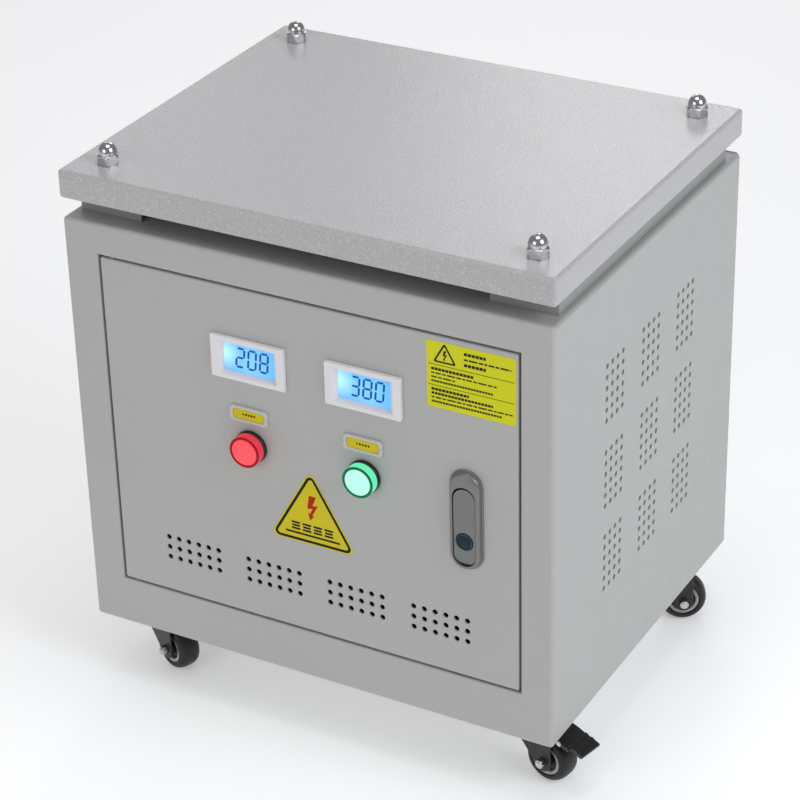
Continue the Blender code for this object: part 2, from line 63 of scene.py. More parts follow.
def add_camera():
    azimuth, elevation, roll = (math.radians(a) for a in CAMERA_TURN)
    back = Vector((math.sin(azimuth) * math.cos(elevation),
                   -math.cos(azimuth) * math.cos(elevation), math.sin(elevation)))
    right = (-back).cross(Vector((0, 0, 1))).normalized()
    up = right.cross(-back)
    x = right * math.cos(roll) + up * math.sin(roll)
    y = -right * math.sin(roll) + up * math.cos(roll)
    data = bpy.data.cameras.new("camera")
    data.lens, data.sensor_width = LENS, SENSOR
    data.clip_start, data.clip_end = 0.05, 20.0
    camera = bpy.data.objects.new("camera", data)
    bpy.context.scene.collection.objects.link(camera)
    place = Matrix((x, y, back)).transposed().to_4x4()
    place.translation = CAMERA_AT
    camera.matrix_world = place
    bpy.context.scene.camera = camera


# ---- shapes -------------------------------------------------------------------------------------
def rect(w, h, r=0.0, cx=0.0, cz=0.0, steps=6):
    """Outline of a rectangle with round corners."""
    if r <= 0:
        return [(cx + w / 2, cz + h / 2), (cx - w / 2, cz + h / 2),
                (cx - w / 2, cz - h / 2), (cx + w / 2, cz - h / 2)]
    points = []
    for q in range(4):
        ox = (w / 2 - r) * (1 if q in (0, 3) else -1)
        oz = (h / 2 - r) * (1 if q in (0, 1) else -1)
        for i in range(steps + 1):
            a = math.pi / 2 * (q + i / steps)
            points.append((cx + ox + r * math.cos(a), cz + oz + r * math.sin(a)))
    return points


def circle(r, cx=0.0, cz=0.0, sides=24):
    return [(cx + r * math.cos(2 * math.pi * i / sides), cz + r * math.sin(2 * math.pi * i / sides))
            for i in range(sides)]


def front(points, y):
    return [(u, y, v) for u, v in points]


def loft(bm, loops, caps=(True, True), ring=False):
    """Skin a row of loops with the same number of points each."""
    rows = [[bm.verts.new(p) for p in loop] for loop in loops]
    count = len(rows[0])
    for a, b in list(zip(rows, rows[1:])) + ([(rows[-1], rows[0])] if ring else []):
        for i in range(count):
            j = (i + 1) % count
            bm.faces.new((a[i], a[j], b[j], b[i]))
    if not ring:
        if caps[0]:
            bm.faces.new(rows[0])
        if caps[1]:
            bm.faces.new(rows[-1])
    return rows


def turned(profile, centre, axis="Y", sides=48, ring=False, bm=None):
    """Turn (radius, along) points about an axis. A third value is half the width across flats,
    which cuts the round to a hexagon there."""
    bm = bm or bmesh.new()
    put = {"Z": lambda a, b, t: (a, b, t), "Y": lambda a, b, t: (a, t, b),
           "X": lambda a, b, t: (t, a, b)}[axis]
    loops = []
    for point in profile:
        loop = []
        for i in range(sides):
            angle = 2 * math.pi * i / sides
            r = max(point[0], 1e-3)
            if len(point) > 2:
                r = min(r, point[2] / math.cos(angle % (math.pi / 3) - math.pi / 6))
            p = put(r * math.cos(angle), r * math.sin(angle), point[1])
            loop.append(tuple(c + d for c, d in zip(centre, p)))
        loops.append(loop)
    loft(bm, loops, ring=ring)
    return bm


def slab(bm, outline, near, far, edge=0.0):
    """A plate parallel to the front face, with its near face rounded off by edge. outline takes a
    growth."""
    loops = [front(outline(0), far), front(outline(0), near + edge)]
    if edge:
        loops += [front(outline(-0.3 * edge), near + 0.3 * edge), front(outline(-edge), near)]
    loft(bm, loops)
    return bm


FACES = {"-x": (0, -1), "+x": (0, 1), "-y": (1, -1), "+y": (1, 1), "-z": (2, -1), "+z": (2, 1)}


def shell(lo, hi, sheet, radius, openings, segments=4):
    """A hollow sheet-metal box with rounded folds. Each opening is (face, outline, profile):
    outline takes a growth, and profile steps (growth, depth) from outer skin to inner skin."""
    bm = bmesh.new()
    edges = {}
    for inner in (False, True):
        inset = sheet if inner else 0.0
        a, b = [c + inset for c in lo], [c - inset for c in hi]
        old = set(bm.faces)
        verts = bmesh.ops.create_cube(bm, size=1.0)["verts"]
        for v in verts:
            v.co = Vector([(p + q) / 2 + c * (q - p) for p, q, c in zip(a, b, v.co)])
        r = radius - sheet if inner else radius
        if r > 0.05:
            rim = list({e for v in verts for e in v.link_edges})
            bmesh.ops.bevel(bm, geom=rim, offset=r, offset_type="OFFSET", segments=segments,
                            profile=0.5, affect="EDGES")
        bm.normal_update()
        made = [f for f in bm.faces if f not in old]
        for key in {face for face, _, _ in openings}:
            axis, sign = FACES[key]
            flat = max(made, key=lambda f: f.calc_area() * (1 if abs(
                f.calc_center_median()[axis] - (b if sign > 0 else a)[axis]) < 1e-3 else -1))
            edges[key, inner] = list(flat.edges)
            made.remove(flat)
            bmesh.ops.delete(bm, geom=[flat], context="FACES_ONLY")
    for key, outline, profile in openings:
        axis, sign = FACES[key]
        loops = []
        for grow, depth in profile:
            level = hi[axis] - depth if sign > 0 else lo[axis] + depth
            loops.append([(level, u, v) if axis == 0 else (u, level, v) if axis == 1 else
                          (u, v, level) for u, v in outline(grow)])
        rows = loft(bm, loops, caps=(False, False))
        for row, inner in ((rows[0], False), (rows[-1], True)):
            edges[key, inner] += [bm.edges.get((row[i - 1], row[i])) for i in range(len(row))]
    for (key, inner), rim in edges.items():
        axis, sign = FACES[key]
        normal = [0.0, 0.0, 0.0]
        normal[axis] = float(sign)
        bmesh.ops.triangle_fill(bm, use_beauty=True, use_dissolve=False, edges=rim, normal=normal)
    return bm


def round_edges(obj, width, segments, angle):
    edge = obj.modifiers.new("edges", "BEVEL")
    edge.width, edge.segments = width * MM, segments
    edge.limit_method, edge.angle_limit = "ANGLE", math.radians(angle)


def piece(name, bm, mat, body, replaces=(), bevel=0.0, place=None, sharp=38,
          weighted=True):
    """Close a bmesh into a named object on a body. bevel and sharp are in mm and degrees."""
    bmesh.ops.remove_doubles(bm, verts=bm.verts, dist=2e-4)
    bmesh.ops.recalc_face_normals(bm, faces=bm.faces)
    if place is not None:
        bm.transform(place)
    for v in bm.verts:
        v.co = Vector((v.co.x, v.co.y + Y_SHIFT, v.co.z)) * MM
    mesh = bpy.data.meshes.new(name)
    bm.to_mesh(mesh)
    bm.free()
    mesh.materials.append(mat)
    mesh.shade_smooth()
    mesh.set_sharp_from_angle(angle=math.radians(sharp))
    obj = bpy.data.objects.new(name, mesh)
    bpy.context.scene.collection.objects.link(obj)
    if bevel:
        round_edges(obj, bevel, 3, 35)
    if weighted:
        obj.modifiers.new("normals", "WEIGHTED_NORMAL").keep_sharp = True
    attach(obj, body)
    if replaces:
        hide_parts(*replaces)
    return obj


def cut(obj, cutters, operation="DIFFERENCE"):
    """Apply exact Booleans with bmeshes drawn in the same frame as the piece was."""
    for bm in cutters:
        tool = piece("cutter", bm, obj.data.materials[0], "cabinet", weighted=False)
        step = obj.modifiers.new("cut", "BOOLEAN")
        step.solver, step.operation, step.object = "EXACT", operation, tool
        others = [m.name for m in obj.modifiers if m.type != "BOOLEAN"]
        for other in others:
            obj.modifiers[other].show_viewport = False
        bpy.context.view_layer.update()
        graph = bpy.context.evaluated_depsgraph_get()
        mesh = bpy.data.meshes.new_from_object(obj.evaluated_get(graph))
        mesh.set_sharp_from_angle(angle=math.radians(38))
        obj.modifiers.remove(step)
        obj.data = mesh
        for other in others:
            obj.modifiers[other].show_viewport = True
        bpy.data.objects.remove(tool)
    return obj


def block(lo, hi, bm=None):
    bm = bm or bmesh.new()
    for v in bmesh.ops.create_cube(bm, size=1.0)["verts"]:
        v.co = Vector([(a + b) / 2 + c * (b - a) for a, b, c in zip(lo, hi, v.co)])
    return bm


# ---- materials ----------------------------------------------------------------------------------
def srgb(r, g, b):
    return tuple(((c / 255 + 0.055) / 1.055) ** 2.4 if c > 10 else c / 255 / 12.92
                 for c in (r, g, b))


def node(tree, kind, **inputs):
    made = tree.nodes.new(kind)
    for key, value in inputs.items():
        if hasattr(value, "is_output"):
            tree.links.new(value, made.inputs[key])
        else:
            made.inputs[key].default_value = value
    return made


def mixed(tree, factor, a, b):
    mix = tree.nodes.new("ShaderNodeMix")
    mix.data_type = "RGBA"
    for socket, value in ((mix.inputs[0], factor), (mix.inputs[6], a), (mix.inputs[7], b)):
        if hasattr(value, "is_output"):
            tree.links.new(value, socket)
        elif isinstance(value, (int, float)):
            socket.default_value = value
        else:
            socket.default_value = (*value, 1.0)[:4]
    return mix.outputs[2]


def ranged(tree, value, low, high, start=0.35, end=0.65):
    made = node(tree, "ShaderNodeMapRange", Value=value)
    for key, number in (("From Min", start), ("From Max", end), ("To Min", low), ("To Max", high)):
        made.inputs[key].default_value = number
    return made.outputs[0]


def surface(name, colour, rough, metal=0.0, tint=0.03, tint_scale=16.0, rough_by=0.05,
            rough_scale=70.0, grain=0.0, grain_scale=600.0, stretch=(1, 1, 1), second=None,
            second_at=(0.5, 0.6), second_scale=40.0, light=None, **sockets):
    """Principled material: mottled colour, uneven roughness and a fine bump, all procedural."""
    mat = bpy.data.materials.new(name)
    mat.use_nodes = True
    tree = mat.node_tree
    shader = tree.nodes["Principled BSDF"]
    place = tree.nodes.new("ShaderNodeTexCoord").outputs["Object"]
    run = node(tree, "ShaderNodeMapping", Vector=place, Scale=stretch).outputs[0]
    tone = node(tree, "ShaderNodeTexNoise", Vector=run, Scale=tint_scale, Detail=4.0,
                Roughness=0.6).outputs[0]
    low = tuple(c * (1 - tint) for c in colour)
    high = tuple(min(c * (1 + tint), 1.0) for c in colour)
    base = mixed(tree, ranged(tree, tone, 0.0, 1.0, 0.3, 0.7), low, high)
    if second:
        spots = node(tree, "ShaderNodeTexNoise", Vector=run, Scale=second_scale, Detail=6.0,
                     Roughness=0.65).outputs[0]
        base = mixed(tree, ranged(tree, spots, 0.0, 1.0, *second_at), base, second)
    tree.links.new(base, shader.inputs["Base Color"])
    worn = node(tree, "ShaderNodeTexNoise", Vector=run, Scale=rough_scale, Detail=3.0).outputs[0]
    tree.links.new(ranged(tree, worn, rough - rough_by, rough + rough_by),
                   shader.inputs["Roughness"])
    if grain:
        fine = node(tree, "ShaderNodeTexNoise", Vector=run, Scale=grain_scale, Detail=2.0,
                    Roughness=0.55).outputs[0]
        bump = node(tree, "ShaderNodeBump", Height=fine, Strength=1.0, Distance=grain * MM)
        tree.links.new(bump.outputs[0], shader.inputs["Normal"])
    shader.inputs["Metallic"].default_value = metal
    if light:
        glow = mixed(tree, ranged(tree, tone, 0.0, 1.0, 0.3, 0.7),
                     tuple(c * 0.97 for c in light[0]), light[0])
        tree.links.new(glow, shader.inputs["Emission Color"])
        shader.inputs["Emission Strength"].default_value = light[1]
    for key, value in sockets.items():
        shader.inputs[key.replace("_", " ")].default_value = value
    return mat


def banded(mat, axis, scale, depth, tint=None, distortion=0.0):
    """Add ridges across one axis to a material: laminations, windings or ribs."""
    tree = mat.node_tree
    shader = tree.nodes["Principled BSDF"]
    wave = tree.nodes.new("ShaderNodeTexWave")
    wave.wave_type, wave.bands_direction, wave.wave_profile = "BANDS", axis, "SIN"
    place = tree.nodes.new("ShaderNodeTexCoord").outputs["Object"]
    tree.links.new(place, wave.inputs["Vector"])
    wave.inputs["Scale"].default_value = scale
    wave.inputs["Distortion"].default_value = distortion
    wave.inputs["Detail Scale"].default_value = 2.0
    old = shader.inputs["Normal"].links
    bump = node(tree, "ShaderNodeBump", Height=wave.outputs[1], Strength=1.0, Distance=depth * MM)
    if old:
        tree.links.new(old[0].from_socket, bump.inputs["Normal"])
    tree.links.new(bump.outputs[0], shader.inputs["Normal"])
    if tint:
        base = shader.inputs["Base Color"].links[0].from_socket
        tree.links.new(mixed(tree, ranged(tree, wave.outputs[1], 0.0, 1.0, 0.0, 0.35), tint, base),
                       shader.inputs["Base Color"])
    return mat


def display(name, centre, spot):
    """Backlit display: blue, with a pale glow spreading from one side."""
    mat = surface(name, srgb(40, 90, 140), 0.18, tint=0.02)
    tree = mat.node_tree
    shader = tree.nodes["Principled BSDF"]
    place = tree.nodes.new("ShaderNodeTexCoord").outputs["Object"]

    def near(at, start, end):
        away = tree.nodes.new("ShaderNodeVectorMath")
        away.operation = "DISTANCE"
        tree.links.new(place, away.inputs[0])
        away.inputs[1].default_value = Vector((at[0], at[1] + Y_SHIFT, at[2])) * MM
        return ranged(tree, away.outputs["Value"], 1.0, 0.0, start * MM, end * MM)

    wide = near(centre, 6.0, 30.0)
    blue = mixed(tree, wide, srgb(84, 168, 250), srgb(126, 203, 255))
    glow = mixed(tree, near(spot, 1.0, 17.0), blue, srgb(196, 255, 255))
    tree.links.new(glow, shader.inputs["Emission Color"])
    shader.inputs["Emission Strength"].default_value = 0.97
    return mat


PAINT = surface("powder_coat", srgb(178, 178, 176), 0.42, tint=0.012, tint_scale=5.0,
                rough_by=0.04, grain=0.05, grain_scale=520.0)
# Lid coat: lighter speckles mixed into its colour, partly the coat's own grain and partly painted
# glints where the gloss catches the light.
LID_PAINT = surface("powder_coat_lid", srgb(178, 177, 178), 0.20, tint=0.012, tint_scale=5.0,
                    rough_by=0.04, rough_scale=300.0, grain=0.22, grain_scale=900.0,
                    second=srgb(198, 195, 198), second_at=(0.5, 0.64), second_scale=620.0)
# Darker copy of the case's powder coat: painted shade for the collar under the lid, which sits in
# the lid's shadow; the core clamps inside take it too.
PAINT_IN_SHADE = surface("powder_coat_painted_shade", srgb(150, 150, 148), 0.5, tint=0.03, grain=0.04)
CHROME = surface("chrome", (0.56, 0.56, 0.57), 0.10, 1.0, tint=0.02, rough_by=0.03)
STEEL = surface("zinc_steel", (0.58, 0.58, 0.57), 0.28, 1.0, tint=0.06, tint_scale=60.0,
                grain=0.01, rough_by=0.08)
LATCH_CHROME = surface("latch_satin", srgb(126, 125, 123), 0.38, 0.6, tint=0.03, rough_by=0.04,
                       stretch=(1, 1, 0.06), tint_scale=400.0, rough_scale=500.0)
LATCH_GREY = surface("latch_brushed", srgb(120, 122, 119), 0.38, 0.6, tint=0.05, rough_by=0.06,
                     stretch=(1, 1, 0.05), tint_scale=700.0, rough_scale=900.0)
TEAL = surface("latch_teal", srgb(6, 34, 46), 0.35, tint=0.1, tint_scale=90.0,
               Specular_IOR_Level=0.25)
TEAL_RIM = surface("latch_teal_rim", srgb(20, 66, 82), 0.30, 0.3, tint=0.1, tint_scale=90.0)
BLACK = surface("black_plastic", srgb(26, 27, 28), 0.42, tint=0.12, grain=0.02, grain_scale=900.0)
CASTER_BLACK = surface("caster_black", srgb(24, 24, 26), 0.30, tint=0.12, rough_by=0.08,
                       grain=0.02, grain_scale=500.0, second=srgb(46, 46, 48),
                       second_at=(0.62, 0.72))
RUBBER = surface("tyre_black", srgb(20, 20, 21), 0.48, tint=0.15, rough_by=0.08, grain=0.03,
                 grain_scale=700.0, second=srgb(52, 51, 49), second_at=(0.60, 0.75))
RIM_GREY = surface("caster_rim", srgb(170, 170, 166), 0.38, tint=0.05, rough_by=0.08,
                   second=srgb(120, 119, 115), second_at=(0.60, 0.75), second_scale=90.0)
WHITE = surface("meter_white", srgb(232, 228, 230), 0.38, tint=0.015, grain=0.015,
                grain_scale=900.0)
CLEAR = surface("holder_clear", srgb(196, 194, 192), 0.10, tint=0.03, rough_by=0.03,
                IOR=1.5)
GOLD = surface("insert_yellow", srgb(216, 196, 16), 0.5, tint=0.03, tint_scale=60.0,
               Specular_IOR_Level=0.2)
INK = surface("ink_dark", srgb(52, 36, 20), 0.5, tint=0.1, Specular_IOR_Level=0.2)
OLIVE_INK = surface("ink_olive", srgb(34, 34, 4), 0.5, tint=0.1, Specular_IOR_Level=0.2)
BLACK_INK = surface("ink_black", srgb(12, 12, 6), 0.5, tint=0.1, Specular_IOR_Level=0.2)
RED_INK = surface("ink_red", srgb(180, 26, 4), 0.5, tint=0.05, Specular_IOR_Level=0.2)
YELLOW = surface("sticker_yellow", srgb(212, 196, 8), 0.45, tint=0.02, tint_scale=30.0,
                 grain=0.01, Specular_IOR_Level=0.25)
LIME = surface("sticker_lime", srgb(214, 214, 12), 0.45, tint=0.02, tint_scale=30.0, grain=0.01,
               Specular_IOR_Level=0.25)
DIGIT = surface("digit_blue", srgb(0, 36, 84), 0.4, light=(srgb(0, 92, 190), 0.6),
                Specular_IOR_Level=0.2)
RED_FACE = surface("lamp_red_face", srgb(190, 20, 30), 0.3, light=(srgb(255, 78, 92), 0.85))
RED_WALL = surface("lamp_red_wall", srgb(170, 20, 30), 0.25, light=(srgb(228, 62, 82), 0.62))
RED_RING = surface("lamp_red_ring", srgb(136, 0, 8), 0.3, light=(srgb(140, 0, 14), 0.5),
                   Specular_IOR_Level=0.2)
GREEN_FACE = surface("lamp_green_face", srgb(60, 160, 120), 0.3,
                     light=(srgb(186, 255, 228), 0.95))
GREEN_WALL = surface("lamp_green_wall", srgb(40, 150, 100), 0.25,
                     light=(srgb(118, 250, 196), 0.72))
GREEN_RING = surface("lamp_green_ring", srgb(0, 78, 46), 0.3, light=(srgb(0, 112, 70), 0.5),
                     Specular_IOR_Level=0.2)
IRON = banded(surface("laminations", srgb(92, 92, 96), 0.5, 0.7, tint=0.12, tint_scale=40.0,
                      second=srgb(80, 52, 36), second_at=(0.66, 0.8)),
              "Y", 320.0, 0.12, srgb(40, 40, 44))
COPPER = banded(surface("varnished_winding", srgb(150, 78, 44), 0.32, 0.2, tint=0.12,
                        tint_scale=40.0), "Z", 95.0, 0.6, srgb(72, 34, 20), 0.4)


# ---- cabinet ------------------------------------------------------------------------------------
def vent_profile(sheet):
    """Steps (growth, depth) through a drilled hole with a soft outer edge."""
    return [(0.25, 0.0), (0.07, 0.08), (0.0, 0.25), (0.0, sheet)]


def door_outline(grow):
    """Rectangle round the door, grown on every side."""
    (x0, x1), (z0, z1) = DOOR_X, DOOR_Z
    return rect(x1 - x0 + 2 * grow, z1 - z0 + 2 * grow, 0, (x0 + x1) / 2, (z0 + z1) / 2)


def side_vents():
    """Centres of the holes in one side: three by three groups of four by six."""
    return [(cy + (i - 1.5) * VENT_PITCH, cz + (j - 2.5) * VENT_PITCH)
            for cy in SIDE_VENT_Y for cz in SIDE_VENT_Z for i in range(4) for j in range(6)]


def add_case():
    openings = [(side, lambda g, a=at: circle(SIDE_VENT_R + g, *a, sides=16), vent_profile(SHEET))
                for side in ("-x", "+x") for at in side_vents()]
    frame_steps = [(1.6, 0.0), (0.9, 0.12), (0.3, 0.55), (0.0, 1.5), (0.0, 24.0), (-10.0, 24.0),
                   (-10.0, 26.0), (2.0, 26.0), (2.0, SHEET)]
    through = [(0, 0), (0, SHEET)]
    openings.append(("-y", lambda g: door_outline(DOOR_GAP + g), frame_steps))
    openings.append(("+y", lambda g: rect(416, 356, 6, 0, CASE_MIDDLE), through))
    openings.append(("+z", lambda g: rect(410, 294, 4, 0, 0), through))
    bm = shell((-HALF, FRONT, CASE_Z[0]), (HALF, BACK - 2.05, CASE_Z[1]), SHEET, 3.2, openings)
    piece("case_shell", bm, PAINT, "cabinet",
          ("front_frame", "side_panel_left", "side_panel_right", "top_frame", "base_tray"))

    cover = bmesh.new()
    y0, y1 = BACK - 2.0, BACK
    outline = [rect(444.6, 388.4, 3.0, 0, CASE_MIDDLE), rect(443.8, 387.6, 2.6, 0, CASE_MIDDLE)]
    loft(cover, [front(outline[0], y0), front(outline[0], y1 - 0.5), front(outline[1], y1)])
    rear = piece("rear_cover", cover, PAINT, "cabinet", ("rear_panel",))
    cut(rear, [turned([(12.7, y0 - 4), (12.7, y1 + 4)], (x, 0, GLAND_Z), "Y", 32)
               for x in (-GLAND_X, GLAND_X)])
    low, high = CASE_Z[0] + 12, CASE_Z[1] - 12.2
    places = [(side * 212, z) for side in (-1, 1) for z in (low, CASE_MIDDLE, high)]
    for i, (x, z) in enumerate(places + [(0, low), (0, high)]):
        screw = turned([(0, y1 - 0.1), (3.9, y1 - 0.1), (3.9, y1 + 0.5), (3.5, y1 + 1.3),
                        (2.4, y1 + 1.9), (0, y1 + 2.1)], (x, 0, z), "Y", 24)
        head = piece(f"rear_screw_{i + 1}", screw, STEEL, "cabinet", weighted=False)
        cut(head, [block((x - 2.3, y1 + 0.9, z - 0.4), (x + 2.3, y1 + 4, z + 0.4)),
                   block((x - 0.4, y1 + 0.9, z - 2.3), (x + 0.4, y1 + 4, z + 2.3))])


def add_lid():
    lo, hi = zip(LID_X, LID_Y, LID_Z)
    bm = shell(lo, hi, SHEET, 3.0, [
        ("-z", lambda g: rect(443.0, 352.0, 0, -0.5, 0), [(0, 0), (0, SHEET)])])
    piece("lid_cover", bm, LID_PAINT, "cabinet", ("top_cover",))
    z = LID_Z[1]
    flat = 8.5
    for name, sx, sy in (("fl", -1, -1), ("fr", 1, -1), ("rl", -1, 1), ("rr", 1, 1)):
        at = (sx * NUT_X, sy * NUT_Y, 0)
        profile = [(0, z + 0.05), (8.4, z + 0.05, flat), (9.0, z + 0.2, flat), (9.7, z + 1.0, flat),
                   (9.8, z + 6.8, flat), (9.0, z + 8.0, flat), (8.5, z + 8.4, flat),
                   (8.05, z + 8.5), (8.0, z + 10.0)]
        profile += [(8.0 * math.cos(math.radians(a)), z + 10.0 + 8.2 * math.sin(math.radians(a)))
                    for a in range(8, 90, 9)] + [(0, z + 18.2)]
        piece("cap_nut_dome_" + name, turned(profile, at, "Z", 72), CHROME, "cabinet",
              ("cap_nut_" + name,), sharp=30, weighted=False)


def add_glands():
    for name, x in (("left", -GLAND_X), ("right", GLAND_X)):
        profile = [(7.0, BACK - 14.0), (12.3, BACK - 14.0), (12.3, BACK + 0.1),
                   (17.6, BACK + 0.1, 16.0), (18.2, BACK + 0.8, 16.0), (18.2, BACK + 5.2, 16.0),
                   (17.2, BACK + 6.0, 16.0), (13.2, BACK + 6.2), (13.0, BACK + 9.0),
                   (15.6, BACK + 9.4, 14.8), (16.6, BACK + 10.4, 14.8), (16.6, BACK + 16.0, 14.8),
                   (14.2, BACK + 18.6, 14.8), (12.0, BACK + 21.2), (9.8, BACK + 23.4),
                   (8.6, BACK + 24.0), (7.4, BACK + 23.6), (7.0, BACK + 22.8)]
        piece("gland_" + name, turned(profile, (x, 0, GLAND_Z), "Y", 72, ring=True), BLACK,
              "cabinet", ("cable_gland_" + name,), weighted=False)


# ---- door ---------------------------------------------------------------------------------------
METERS = {"left": (-49.8, "208"), "right": (57.6, "380")}
LABEL_X, LAMP_X = (-52.3, 55.3), (-51.6, 55.5)
METER_Z, LABEL_Z, LAMP_Z = 359.0, 308.1, 279.0
LATCH_X, LATCH_Z = 148.7, 263.5
HANDLE_W, HANDLE_TOP, HANDLE_PIVOT, HANDLE_FOOT = 19.5, 293.2, 230.7, 222.8
BUTTON_Z = 244.9


def pocket(grow, steps=20):
    """Outline of the handle's pocket, round at both ends, with a gap over the handle's head."""
    side_gap, top_gap = 0.7, 2.2
    half = HANDLE_W / 2 + side_gap + grow
    low, high = HANDLE_FOOT + HANDLE_W / 2, HANDLE_TOP + top_gap + grow - half
    points = []
    for i in range(2 * steps + 1):
        angle = math.pi * i / steps
        points.append((LATCH_X + half * math.cos(angle),
                       (high if i <= steps else low) + half * math.sin(angle)))
    return points


def add_door():
    vents = [(cx + (i - 2.5) * VENT_PITCH, DOOR_VENT_TOP - VENT_PITCH * j)
             for cx in DOOR_VENT_X for i in range(6) for j in range(3)]
    openings = [("-y", lambda g, a=at: circle(VENT_R + g, *a, sides=20), vent_profile(DOOR_SHEET))
                for at in vents]
    through = [(0.0, 0.0), (0.0, DOOR_SHEET)]
    for x, _ in METERS.values():
        openings.append(("-y", lambda g, a=x: rect(66 + g, 36 + g, 0, a, METER_Z), through))
    for x in LAMP_X:
        openings.append(("-y", lambda g, a=x: circle(11.2, a, LAMP_Z, 32), through))
    openings.append(("-y", lambda g: pocket(2.6), through))
    openings.append(("+x", lambda g: rect(6.6, 14.0, 0, FRONT + 12.9, LATCH_Z), through))
    for side in ("-z", "+z"):
        openings.append((side, lambda g: circle(2.8, -180.5, FRONT + 5.0, 16), through))
    openings.append(("+y", lambda g: door_outline(-2.2), through))
    bm = shell((DOOR_X[0], FRONT, DOOR_Z[0]), (DOOR_X[1], FRONT + 18.0, DOOR_Z[1]), DOOR_SHEET, 1.7,
               openings)
    piece("door_skin", bm, PAINT, "door", ("door_panel",))


SEGMENTS = {"0": "abcdef", "2": "abged", "3": "abgcd", "8": "abcdefg"}


def digit(bm, figure, cx, cz, y, width=9.0, height=19.0, stroke=1.9):
    """Seven-segment figure leaning to the right, as thin closed strips."""
    half_w, half_h, s, gap = width / 2, height / 2, stroke / 2, 0.35
    u, v, mid = half_w - s, half_h - s, half_h / 2 - s / 2
    centres = {"a": (0, v, "h"), "g": (0, 0, "h"), "d": (0, -v, "h"), "f": (-u, mid, "v"),
               "b": (u, mid, "v"), "e": (-u, -mid, "v"), "c": (u, -mid, "v")}
    for key in SEGMENTS[figure]:
        u, v, way = centres[key]
        length = (half_w - s if way == "h" else half_h / 2 - s / 2) - gap
        hexagon = [(-length, 0), (-length + s, -s), (length - s, -s), (length, 0),
                   (length - s, s), (-length + s, s)]
        points = [(u + (p if way == "h" else q), v + (q if way == "h" else p)) for p, q in hexagon]
        points = [(cx + p + 0.09 * q, cz + q) for p, q in points]
        loft(bm, [front(points, y), front(points, y + 0.12)])
    return bm


def add_meters():
    z = METER_Z
    face = FRONT - 3.8
    for name, (x, reading) in METERS.items():
        deep = face + 4.0
        steps = [(65.0, 35.0, 1.0, FRONT + 12.0), (65.0, 35.0, 1.0, FRONT - 0.15),
                 (69.6, 38.4, 1.1, FRONT - 0.15), (69.6, 38.4, 1.1, face + 0.9),
                 (69.1, 37.9, 1.0, face + 0.25), (68.2, 37.0, 0.9, face),
                 (55.4, 30.4, 1.2, face), (54.8, 29.8, 1.0, face + 0.35),
                 (48.6, 25.6, 0.8, deep - 0.6), (48.2, 25.2, 0.8, deep + 1.4),
                 (48.2, 25.2, 0.8, FRONT + 12.0)]
        bm = bmesh.new()
        loft(bm, [front(rect(w, h, r, x, z), y) for w, h, r, y in steps], ring=True)
        piece("meter_frame_" + name, bm, WHITE, "door",
              ("meter_bezel_" + name,), sharp=30)
        screen = bmesh.new()
        slab(screen, lambda g: rect(48.0 + 2 * g, 25.0 + 2 * g, 0.8, x, z), deep, deep + 2.0)
        piece("meter_screen_" + name, screen,
              display("backlight_" + name, (x + 3, deep, z - 2), (x - 24.0, deep, z + 3.0)),
              "door", ("meter_lcd_" + name,))
        figures = bmesh.new()
        for i, figure in enumerate(reading):
            digit(figures, figure, x - 8.4 + 11.2 * i, z + 0.9, deep - 0.13)
        piece("meter_figures_" + name, figures, DIGIT, "door", weighted=False)


def add_labels():
    for name, x in zip(("left", "right"), LABEL_X):
        y = FRONT - 0.05
        bm = bmesh.new()
        steps = [(36.4, 14.6, 3.6, y), (36.4, 14.6, 3.6, y - 1.3), (35.8, 14.0, 3.3, y - 1.9),
                 (34.8, 13.0, 3.0, y - 2.1), (30.4, 9.8, 2.2, y - 2.1), (29.8, 9.2, 2.0, y - 1.8),
                 (29.6, 9.0, 2.0, y - 1.0)]
        loft(bm, [front(rect(w, h, r, x, LABEL_Z), d) for w, h, r, d in steps])
        piece("label_holder_rim_" + name, bm, CLEAR, "door",
              ("label_holder_" + name,), sharp=30)
        card = bmesh.new()
        loft(card, [front(rect(w, h, 1.9, x, LABEL_Z), d) for w, h, d in
                    ((29.2, 8.6, y - 0.95), (29.2, 8.6, y - 1.5), (28.8, 8.2, y - 1.6))])
        piece("label_card_" + name, card, GOLD, "door", weighted=False)
        marks = bmesh.new()
        for i, w in enumerate((1.2, 2.0, 1.6, 2.0, 1.6)):
            mark = rect(w, 1.9, 0, x - 5.2 + 2.7 * i, LABEL_Z + 0.4)
            loft(marks, [front(mark, y - 1.55), front(mark, y - 1.66)])
        piece("label_marks_" + name, marks, INK, "door", weighted=False)
        studs = bmesh.new()
        for side in (-1, 1):
            turned([(0, y - 2.0), (1.15, y - 2.0), (1.15, y - 2.5), (0.7, y - 2.8), (0, y - 2.9)],
                   (x + side * 16.3, 0, LABEL_Z), "Y", 16, bm=studs)
        piece("label_studs_" + name, studs, CHROME, "door", weighted=False)


